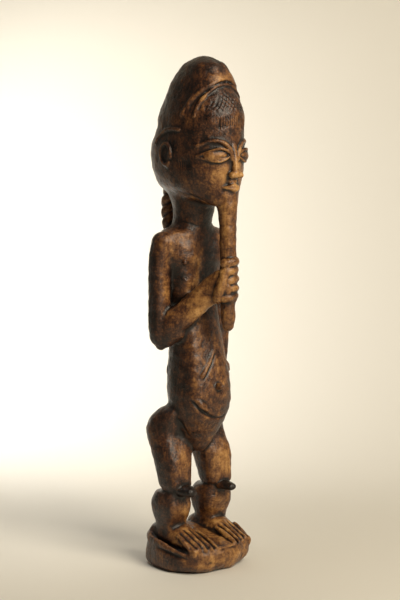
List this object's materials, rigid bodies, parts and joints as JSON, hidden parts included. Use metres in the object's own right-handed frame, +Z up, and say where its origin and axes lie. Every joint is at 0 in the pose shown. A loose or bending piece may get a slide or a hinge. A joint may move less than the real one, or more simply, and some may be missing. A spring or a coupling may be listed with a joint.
{
  "type": "carved male figure",
  "caption": "Standing male figure carved in one block of hardwood with its round plinth; one hand holds the end of a long rod-like beard.",
  "frame": {"origin": "centre of the plinth's flat underside", "axes": "+Z up the figure; the figure faces -Y, so his right hand is towards -X"},
  "size_m": [0.09, 0.1012, 0.45],
  "materials": {
    "hardwood": "dark handled patina, semi-gloss, worn to brown and ochre on the high places"
  },
  "bodies": {
    "root": {"male_figure": "hardwood"}
  },
  "joints": []
}
